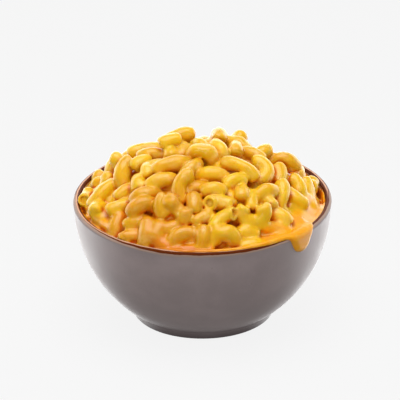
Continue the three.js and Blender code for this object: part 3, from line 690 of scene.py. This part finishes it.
def surface_nets(field):
    """A quad mesh of the field's zero level."""
    inside = field < 0
    shape = np.array(field.shape) - 1
    ids, verts = net_points(field, shape)
    faces = []
    for axis in range(3):
        u, v = [i for i in range(3) if i != axis]
        lo, hi = [slice(None)] * 3, [slice(None)] * 3
        lo[axis], hi[axis] = slice(0, -1), slice(1, None)
        a, b = inside[tuple(lo)], inside[tuple(hi)]
        at = np.argwhere(a != b)
        at = at[(at[:, u] > 0) & (at[:, v] > 0) & (at[:, u] < shape[u]) & (at[:, v] < shape[v])]
        flip = a[tuple(at.T)]
        quad = []
        for du, dv in ((1, 1), (0, 1), (0, 0), (1, 0)):
            c = at.copy()
            c[:, u] -= du
            c[:, v] -= dv
            quad.append(ids[tuple(c.T)])
        quad = np.stack(quad, -1)
        if axis == 1:
            flip = ~flip
        quad[~flip] = quad[~flip][:, ::-1]
        faces.append(quad)
    return verts, np.concatenate(faces)


def thin_out(verts, faces):
    """Merges points over coarse cells in the hidden underside, and over finer ones in deep gaps."""
    depth = heap_top(verts[:, 0], verts[:, 1]) - verts[:, 2]
    cell = np.where(depth > HIDDEN_DEPTH, HIDDEN_CELL, np.where(depth > DEEP_DEPTH, DEEP_CELL, 0))
    free = cell > 0
    key = np.floor(verts / np.where(free, cell, 1)[:, None]).astype(np.int64) + 500
    code = (key[:, 0] * 1000 + key[:, 1]) * 1000 + key[:, 2]
    code = np.where(free, code * 2 + (cell == HIDDEN_CELL), -1 - np.arange(len(verts)))
    where = np.unique(code, return_inverse=True)[1]
    count = np.bincount(where)
    merged = np.stack([np.bincount(where, verts[:, i]) / count for i in range(3)], -1)
    loops = [[v for i, v in enumerate(f) if v != f[i - 1]] for f in where[faces].tolist()]
    kept = [tuple(f) for f in loops if len(set(f)) == len(f) > 2]
    return merged, list(dict.fromkeys(kept))


def crowded(field, verts, normals):
    """How shut in each point is, 0 to 1, from the room in front of it: the mask of the painted shade in the
    gaps.
    """
    total = 0
    for d, weight in GAP_SHADE_PROBES:
        room = sample(field, verts + normals * d)
        total = total + weight * np.clip(1 - room / d, 0, 1.3)
    return np.clip(total, 0, 1)


def sample(field, verts):
    """Trilinear values of a grid at points."""
    q = (verts - GRID_LOW) / VOXEL
    i = np.clip(q.astype(int), 0, np.array(field.shape) - 2)
    f = q - i
    value = 0
    for o in CORNERS:
        w = np.prod([f[:, a] if o[a] else 1 - f[:, a] for a in range(3)], axis=0)
        value = value + w * field[i[:, 0] + o[0], i[:, 1] + o[1], i[:, 2] + o[2]]
    return value


# ---- Materials ----


def smooth_range(tree, lo, hi, a, b):
    """A node that steps smoothly from a to b as its value goes from lo to hi."""
    node = tree.nodes.new("ShaderNodeMapRange")
    node.interpolation_type = "SMOOTHSTEP"
    for key, value in (("From Min", lo), ("From Max", hi), ("To Min", a), ("To Max", b)):
        node.inputs[key].default_value = value
    return node


class Nodes:
    """A short way to write a node tree."""

    def __init__(self, name):
        self.material = bpy.data.materials.new(name)
        self.material.use_nodes = True
        self.tree = self.material.node_tree
        self.tree.nodes.clear()
        self.shader = self.add("BsdfPrincipled")
        self.add("OutputMaterial", Surface=self.shader.outputs[0])

    def add(self, kind, **inputs):
        node = self.tree.nodes.new("ShaderNode" + kind)
        for key, value in inputs.items():
            self.put(node.inputs[key.replace("_", " ")], value)
        return node

    def put(self, socket, value):
        if isinstance(value, bpy.types.NodeSocket):
            self.tree.links.new(value, socket)
        elif isinstance(value, (tuple, list)) and socket.type == "RGBA":
            socket.default_value = (*value[:3], 1)
        else:
            socket.default_value = value

    def set(self, **inputs):
        for key, value in inputs.items():
            self.put(self.shader.inputs[key.replace("_", " ")], value)

    def coords(self):
        return self.add("TexCoord").outputs["Object"]

    def height(self):
        return self.add("SeparateXYZ", Vector=self.coords()).outputs["Z"]

    def noise(self, scale, detail, roughness=0.5):
        node = self.add("TexNoise", Vector=self.coords(), Scale=scale, Detail=detail, Roughness=roughness)
        return node.outputs["Fac"]

    def ramp(self, fac, lo, hi, a=0.0, b=1.0):
        """Smooth step from a to b as fac goes from lo to hi."""
        node = smooth_range(self.tree, lo, hi, a, b)
        self.put(node.inputs["Value"], fac)
        return node.outputs["Result"]

    def blend(self, fac, a, b):
        """Colour a where fac is 0, and b where it is 1."""
        node = self.add("Mix")
        node.data_type = "RGBA"
        for i, value in ((0, fac), (6, a), (7, b)):
            self.put(node.inputs[i], value)
        return node.outputs[2]

    def math(self, how, a, b):
        node = self.add("Math")
        node.operation = how
        self.put(node.inputs[0], a)
        self.put(node.inputs[1], b)
        return node.outputs[0]

    def times(self, a, b):
        return self.math("MULTIPLY", a, b)

    def value(self, name):
        """A value that the mesh's points carry."""
        node = self.add("Attribute")
        node.attribute_name = name
        return node.outputs["Fac"]

    def bump(self, height, strength, distance):
        node = self.add("Bump", Height=height, Strength=strength, Distance=distance)
        self.set(Normal=node.outputs[0])


def srgb(*rgb):
    """Linear colour of an sRGB one from 0 to 255."""
    return tuple(c / 12.92 if c <= 0.04045 else ((c + 0.055) / 1.055) ** 2.4 for c in (v / 255 for v in rgb))


# Cheese: a paler and a deeper colour of the thin coat, the same of the thick one, pale streaks that
# partly paint highlights, and the painted shade in the gaps.
THIN_COAT = (srgb(232, 184, 14), srgb(214, 148, 0))
THICK_COAT = (srgb(238, 162, 0), srgb(214, 124, 0))
STREAK_HIGHLIGHT_COLOUR, GAP_SHADE_COLOUR = srgb(244, 202, 120), srgb(210, 108, 0)
GAP_SHADE_FADE = (0.086, 0.104)  # heights between which the painted shade in the gaps grows weaker, in metres
CHEESE = {"Coat_Weight": 0.35, "Coat_Roughness": 0.18, "Subsurface_Radius": (1.0, 0.5, 0.12), "IOR": 1.48}

# Bowl: glaze and its specks, the tan inside and its dots, the painted shade at the foot, and the
# lip's bands from the outside in: soft edge that is partly painted reflection, brown, thin painted
# highlight line, dark inner edge.
GREY, SPECK = (srgb(142, 129, 128), srgb(150, 136, 135)), srgb(96, 80, 74)
TAN, DOT = (srgb(186, 158, 118), srgb(206, 182, 150)), srgb(140, 98, 60)
FOOT_SHADE, FOOT_SHADE_TOP = srgb(66, 56, 57), 0.0095
SOFT_EDGE_AND_REFLECTION, BROWN = srgb(160, 135, 121), srgb(90, 35, 0)
PAINTED_HIGHLIGHT_LINE, DARK_EDGE = srgb(208, 160, 130), srgb(84, 32, 2)


def coated(m, thick, streaks):
    """Cheese yellow: paler and deeper by piece, thicker towards orange, with pale streaks that partly paint
    highlights, and painted shade in the gaps.
    """
    uneven = m.times(m.math("SUBTRACT", m.noise(90, 3), 0.5), 0.9)
    tone = m.ramp(m.math("ADD", m.value("tone"), uneven), 0.0, 1.0)
    base = m.blend(tone, *THIN_COAT)
    if thick:
        base = m.blend(m.ramp(m.value("thick"), 0.1, 0.9), base, m.blend(tone, *THICK_COAT))
    # Pale streaks at random places: partly the cheese's own streaks, partly painted highlight.
    pale = m.times(m.ramp(m.noise(streaks, 4, 0.6), 0.48, 0.68), 0.25 if thick else 0.5)
    base = m.blend(pale, base, STREAK_HIGHLIGHT_COLOUR)
    # Painted shade in the gaps between pieces: weaker higher up, and weaker on the bare macaroni.
    depth = m.times(m.ramp(m.height(), *GAP_SHADE_FADE, 1.0, 0.4), 1.0 if thick else 0.75)
    return m.blend(m.times(m.ramp(m.value("gap"), 0.25, 0.9), depth), base, GAP_SHADE_COLOUR)


def macaroni_material():
    m = Nodes("macaroni")
    m.set(Base_Color=coated(m, False, 140), Roughness=m.ramp(m.noise(260, 3), 0.3, 0.7, 0.32, 0.45))
    m.set(Subsurface_Weight=0.35, Subsurface_Scale=0.0016, Specular_IOR_Level=0.4, **CHEESE)
    m.bump(m.noise(420, 4, 0.55), 0.25, 0.0004)
    return m.material


def sauce_material():
    m = Nodes("cheese_sauce")
    m.set(Base_Color=coated(m, True, 110), Roughness=m.ramp(m.noise(200, 3), 0.3, 0.7, 0.32, 0.45))
    m.set(Subsurface_Weight=0.4, Subsurface_Scale=0.002, Specular_IOR_Level=0.36, **CHEESE)
    m.bump(m.noise(180, 3), 0.2, 0.0006)
    return m.material


def lip_bands(m, grey, tan):
    """The glaze's colour from the outside over the lip to the inside, with a painted highlight line on the
    lip's top and a soft edge that is partly painted reflection. way is in degrees round it.
    """
    way = m.math("ADD", m.value("way"), m.times(m.math("SUBTRACT", m.noise(160, 3), 0.5), 24.0))
    rise = m.value("rise")
    # The soft edge: partly the glaze's own edge, partly painted reflection, which reaches over the lip at
    # the sides where rise holds the brown back.
    base = m.blend(m.ramp(m.math("SUBTRACT", way, m.times(rise, 0.7)), -30, -2), grey, SOFT_EDGE_AND_REFLECTION)
    base = m.blend(m.ramp(m.math("SUBTRACT", way, rise), 8, 22), base, BROWN)
    # A painted highlight line along the lip's top, left out at the front right.
    base = m.blend(m.times(m.ramp(way, 68, 80), m.value("line")), base, PAINTED_HIGHLIGHT_LINE)
    base = m.blend(m.ramp(way, 96, 106), base, DARK_EDGE)
    return m.blend(m.ramp(way, 160, 180), base, tan)


def bowl_material(name, specular):
    m = Nodes(name)
    mottled = m.noise(55, 5, 0.6)
    grey = m.blend(m.ramp(mottled, 0.35, 0.68), *GREY)
    grey = m.blend(m.times(m.ramp(m.noise(900, 2), 0.70, 0.76), 0.3), grey, SPECK)
    tan = m.blend(m.ramp(m.noise(120, 4), 0.3, 0.7), *TAN)
    tan = m.blend(m.ramp(m.noise(1100, 2), 0.62, 0.70), tan, DOT)
    # Painted shade: the glaze grows darker towards the bottom of the foot.
    low = m.times(m.ramp(m.height(), 0.0, FOOT_SHADE_TOP, 1.0, 0.0), 0.85)
    base = m.blend(low, lip_bands(m, grey, tan), FOOT_SHADE)
    m.set(Base_Color=base, Roughness=m.ramp(mottled, 0.3, 0.7, 0.34, 0.44))
    m.set(IOR=1.5, Specular_IOR_Level=specular)
    m.bump(m.noise(600, 4), 0.08, 0.0003)
    return m.material


# ---- Build the object ----

THICKNESS = (1.0, 1.16)  # range of the elbows' radius, as a share of ELBOW_RADIUS
PLACED_EXTRA = 0.04  # how much thicker the placed ones are
SETTLE_ROUNDS = 30
TOUCH, STAND_OUT = 0.9, 2.0  # share of both radii at which two touch, mm let out of the outline
NEIGHBOURS = 28  # pieces whose middles are further apart than this can't touch
PLACED_GIVE, FILLER_GIVE = (0.4, 0.25), (1.0, 0.08)  # how far a piece gives way, how strongly it returns
OPEN_SHARE = 0.08  # share of the added elbows that have an open end
SHEET_SPAN, SHEET_RADIUS = (-62, -6), 57  # azimuths and inner radius of the sauce sheet at the right
DEEPER_FRONT, DEEPER_ALL = 0.75, 0.1


def settle(pieces, give, pull):
    """Moves pieces that sink into each other apart, without lifting them out of the outline."""
    home = np.array([p["at"] for p in pieces])
    rel = np.stack([chain({**p, "at": 0}, 7) for p in pieces])
    radius = np.array([p["radius"] for p in pieces])
    at = home.copy()
    gap = np.linalg.norm(at[:, None] - at[None], axis=2)
    first, second = np.nonzero(np.triu(gap < NEIGHBOURS, 1))
    rows = np.arange(len(first))
    allowed = np.maximum(0, standing_out(home, rel, radius))
    for _ in range(SETTLE_ROUNDS):
        points = at[:, None] + rel
        across = points[first][:, :, None] - points[second][:, None]
        far = np.linalg.norm(across, axis=3).reshape(len(first), -1)
        nearest = far.argmin(1)
        close = far[rows, nearest]
        way = across.reshape(len(first), -1, 3)[rows, nearest] / np.maximum(close, 1e-3)[:, None]
        sunk = np.maximum(0, TOUCH * (radius[first] + radius[second]) - close)
        push = way * (0.5 * sunk)[:, None]
        move = np.zeros_like(at)
        np.add.at(move, first, push)
        np.add.at(move, second, -push)
        at += move * give[:, None] + (home - at) * pull[:, None]
        at[:, 2] -= 0.5 * np.maximum(standing_out(at, rel, radius) - allowed, 0)
    for piece, place in zip(pieces, at):
        piece["at"] = place


def standing_out(at, rel, radius):
    """How far each piece at these places stands further out of the outline than STAND_OUT."""
    points = at[:, None] + rel
    return (points[..., 2] + radius[:, None] - heap_top(points[..., 0], points[..., 1]) - STAND_OUT).max(1)


def deeper(place):
    """How much deeper the colour is at a place: most at the front, left of the middle."""
    x, y = place[..., 0], place[..., 1]
    return DEEPER_FRONT * step(-y, 0, 60) * step(-x, -20, 10) * step(x, -58, -38) + DEEPER_ALL


def in_pool(x, y):
    """Whether a place is in the sauce sheet, which no added elbow may break."""
    az = math.degrees(math.atan2(y, x))
    return SHEET_SPAN[0] < az < SHEET_SPAN[1] and math.hypot(x, y) > SHEET_RADIUS


def build_pieces():
    """The placed elbows, those that a rule adds between them, and those under both."""
    placed = [elbow(row) for row in PLACED]
    spread = [p for p in fillers(placed, **BETWEEN_RULE) if not in_pool(*p["at"][:2])]
    front = placed + spread
    rng = np.random.default_rng(7)
    for i, piece in enumerate(front):
        extra = PLACED_EXTRA if i < len(placed) else 0
        piece["radius"] = ELBOW_RADIUS * (rng.uniform(*THICKNESS) + extra)
    settle(front, *np.repeat([PLACED_GIVE, FILLER_GIVE], [len(placed), len(spread)], axis=0).T)
    pieces = front + fillers(front, **UNDER_RULE)
    for i, piece in enumerate(pieces):
        piece.setdefault("radius", ELBOW_RADIUS * rng.uniform(*THICKNESS))
        piece["flat"] = rng.uniform(0.93, 1.0)
        piece["phase"] = rng.uniform(0, 6.28)
        tone = 0.0 if i in PALE else 0.5 if i in DEEP else rng.uniform(0.0, 0.35)
        piece["tone"] = tone + deeper(piece["at"])
        if i >= len(placed) and rng.uniform() < OPEN_SHARE:
            piece["mouths"] = 1 if rng.uniform() < 0.5 else 2
    return pieces


def build_macaroni(pieces):
    """Every elbow, in one mesh."""
    verts, faces, tones, start = [], [], [], 0
    for piece in pieces:
        v, f = elbow_mesh(piece)
        verts.append(v)
        faces += [tuple(i + start for i in face) for face in f]
        tones.append(np.full(len(v), piece["tone"]))
        start += len(v)
    obj = mesh_object("macaroni_elbows", np.concatenate(verts), faces)
    add_values(obj, "tone", np.concatenate(tones))
    obj.data.materials.append(macaroni_material())
    return obj


def shade_gaps(obj, field):
    """Stores how shut in each point is, for the painted shade in the gaps."""
    count = len(obj.data.vertices)
    place, normals = np.empty(count * 3), np.empty(count * 3)
    obj.data.vertices.foreach_get("co", place)
    obj.data.vertices.foreach_get("normal", normals)
    add_values(obj, "gap", crowded(field, place.reshape(-1, 3) / MM, normals.reshape(-1, 3)))


def build_sauce(pieces, macaroni):
    """The sauce's skin: crescent, film, drip, and the coat between and on the elbows."""
    field, hard, tone = sauce_field(pieces)
    verts, faces = surface_nets(field)
    verts[:, 2] = under_top(verts[:, 2])
    verts, faces = thin_out(verts, faces)
    obj = mesh_object("sauce", verts, faces)
    over = np.clip(sample(hard, verts) / 3.0, 0, 1)
    add_values(obj, "thick", over)
    add_values(obj, "tone", mix(sample(tone, verts), deeper(verts), step(over, 0.2, 0.8)))
    shade_gaps(obj, field)
    shade_gaps(macaroni, field)
    obj.data.materials.append(sauce_material())
    return obj


BOWL_TURNS = 160
SIDE_REFLECTION_RISE = 60  # how much further up the lip the brown band starts at the sides, in degrees, where the soft edge paints the glaze's reflection
OUTSIDE_WAY, INSIDE_WAY = -60, 260  # stand for the outer and the inner wall, in degrees round the lip
LIP_GLAZE = (-12, 230)  # the part of the lip with the duller glaze, in degrees round it


def lip_way():
    """Degrees round the lip from its outermost side, for each point of the profile."""
    r, z = PROFILE[:, 0] - LIP_R, PROFILE[:, 1] - LIP_Z
    way = np.degrees(np.arctan2(z, r))
    way = np.where(way < -90, way + 360, way)
    past_top = np.arange(len(PROFILE)) > np.argmax(PROFILE[:, 1])
    on_lip = np.hypot(r, z) < LIP_HALF + 0.1
    return np.where(on_lip, way, np.where(past_top, INSIDE_WAY, OUTSIDE_WAY))


def build_bowl():
    """The profile turned round, with the values that its glaze reads."""
    body = PROFILE[1:-1]
    angle = np.linspace(0, 2 * math.pi, BOWL_TURNS, endpoint=False)
    r, z = body[:, 0][:, None], body[:, 1][:, None]
    rings = np.stack([r * np.cos(angle), r * np.sin(angle), z + 0 * angle], -1)
    verts = np.concatenate([[[0, 0, PROFILE[0, 1]]], rings.reshape(-1, 3), [[0, 0, PROFILE[-1, 1]]]])
    obj = mesh_object("bowl_body", verts, tube_faces(len(body), BOWL_TURNS))
    way, x, y = lip_way(), verts[:, 0], verts[:, 1]
    add_values(obj, "way", np.concatenate([way[:1], np.repeat(way[1:-1], BOWL_TURNS), way[-1:]]))
    # How far the brown band is held back at the sides, where the soft edge paints the glaze's reflection.
    add_values(obj, "rise", SIDE_REFLECTION_RISE * np.clip((abs(x) - 26) / 46, 0, 1) * (1 - step(y, -2, 22)))
    # Where the lip's painted highlight line shows: everywhere but the front right.
    add_values(obj, "line", 1 - step(x, 20, 50) * (1 - step(y, -5, 15)))
    obj.data.materials.append(bowl_material("bowl_glaze", 0.5))
    obj.data.materials.append(bowl_material("lip_glaze", 0.06))
    on_lip = (way > LIP_GLAZE[0]) & (way < LIP_GLAZE[1])
    for polygon in obj.data.polygons:
        row = (polygon.vertices[0] - 1) // BOWL_TURNS + 1
        polygon.material_index = int(0 < row < len(PROFILE) - 1 and on_lip[row])
    return obj


pieces = build_pieces()
macaroni = build_macaroni(pieces)
sauce = build_sauce(pieces, macaroni)
bowl = build_bowl()
for obj, node in ((macaroni, "macaroni"), (sauce, "cheese_sauce"), (bowl, "bowl")):
    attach(obj, "root")
    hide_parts(node)

# ---- Floor, light and camera ----

FLOOR_HALF = 9000  # millimetres
ROOM_LOW, ROOM_HIGH, ROOM_WALLS = 0.31, 0.2, 3.15  # strength of the room below, above and of its walls

# Name, place, point aimed at, size, power, and whether gloss shows it. Metres and watts.
LIGHTS = (
    ("top_light", (-0.03, -0.04, 0.85), (0, 0, 0.08), 0.75, 5.7, True),
    ("front_light", (-0.05, -1.0, 0.1), (0, 0, 0.06), 0.7, 3.9, False),
    ("fill_light", (0, -0.7, 0.75), (0, 0, 0.08), 1.5, 3.2, False),
)

# The camera: degrees above the horizon, degrees of roll, metres away, pixels and millimetres wide.
ELEVATION, ROLL, DISTANCE, PHOTO_WIDTH, SENSOR = 25.0, 0.55, 2.5, 400, 36
LIP_PIXELS, LIP_METRES = 129.4, 0.075  # half the lip's width in the photograph, and in metres
AIM_Z = 0.0701  # height of the point aimed at, in metres
AIM_RIGHT, AIM_UP = 2.4, 0.7  # pixels by which the point aimed at lies right and up of the middle


def build_floor():
    """A pale floor that lights nothing and shows in no gloss."""
    n = FLOOR_HALF
    corners = [[-n, -n, 0], [n, -n, 0], [n, n, 0], [-n, n, 0]]
    floor = mesh_object("floor", corners, [(0, 1, 2, 3)], smooth=False)
    m = Nodes("pale_floor")
    m.set(Base_Color=(0.05, 0.05, 0.05), Roughness=0.9, Specular_IOR_Level=0.0)
    m.set(Emission_Color=(1, 1, 1), Emission_Strength=0.87)
    floor.data.materials.append(m.material)
    floor.visible_diffuse = False
    floor.visible_glossy = False


def build_world():
    """A dim room with walls that shine at the back and sides, up to a little above the horizon."""
    world = bpy.data.worlds.new("studio")
    bpy.context.scene.world = world
    world.use_nodes = True
    tree = world.node_tree
    tree.nodes.clear()
    out = tree.nodes.new("ShaderNodeOutputWorld")
    back = tree.nodes.new("ShaderNodeBackground")
    coords = tree.nodes.new("ShaderNodeTexCoord")

    def fade(way, lo, hi, a, b):
        """Strength from a to b as the direction turns towards way."""
        dot = tree.nodes.new("ShaderNodeVectorMath")
        dot.operation = "DOT_PRODUCT"
        dot.inputs[1].default_value = way
        tree.links.new(coords.outputs["Generated"], dot.inputs[0])
        node = smooth_range(tree, lo, hi, a, b)
        tree.links.new(dot.outputs["Value"], node.inputs["Value"])
        return node.outputs["Result"]

    def join(how, a, b):
        node = tree.nodes.new("ShaderNodeMath")
        node.operation = how
        tree.links.new(a, node.inputs[0])
        tree.links.new(b, node.inputs[1])
        return node.outputs[0]

    up = (0, 0, 1)
    walls = fade((-0.03, 1, 0), -0.35, 0.5, 0.0, ROOM_WALLS)
    walls = join("MULTIPLY", walls, fade(up, -0.8, -0.5, 0.0, 1.0))
    walls = join("MULTIPLY", walls, fade(up, 0.3, 0.65, 1.0, 0.0))
    total = join("ADD", walls, fade(up, -0.6, 0.35, ROOM_LOW, ROOM_HIGH))
    tree.links.new(total, back.inputs["Strength"])
    tree.links.new(back.outputs[0], out.inputs["Surface"])


def area_light(name, at, aim, size, power, in_gloss):
    light = bpy.data.lights.new(name, "AREA")
    light.shape, light.size, light.energy = "DISK", size, power
    obj = add_object(name, light)
    obj.location = at
    obj.rotation_euler = (Vector(aim) - Vector(at)).to_track_quat("-Z", "Y").to_euler()
    obj.visible_glossy = in_gloss


def build_camera():
    """A long lens that looks down at the bowl, as the photograph does."""
    elevation, roll = math.radians(ELEVATION), math.radians(ROLL)
    forward = Vector((0, math.cos(elevation), -math.sin(elevation)))
    right, up = Vector((1, 0, 0)), Vector((0, math.sin(elevation), math.cos(elevation)))
    scale = LIP_PIXELS / LIP_METRES
    place = Vector((0, 0, AIM_Z)) - forward * DISTANCE - right * (AIM_RIGHT / scale) - up * (AIM_UP / scale)
    data = bpy.data.cameras.new("camera")
    data.lens, data.sensor_width = scale * DISTANCE / PHOTO_WIDTH * SENSOR, SENSOR
    data.clip_end = 60
    cam = add_object("camera", data)
    rolled_right = right * math.cos(roll) - up * math.sin(roll)
    rolled_up = up * math.cos(roll) + right * math.sin(roll)
    cam.matrix_world = Matrix((*zip(rolled_right, rolled_up, -forward, place), (0, 0, 0, 1)))
    bpy.context.scene.camera = cam


build_floor()
build_world()
for row in LIGHTS:
    area_light(*row)
build_camera()
bpy.context.scene.view_settings.view_transform = "Standard"
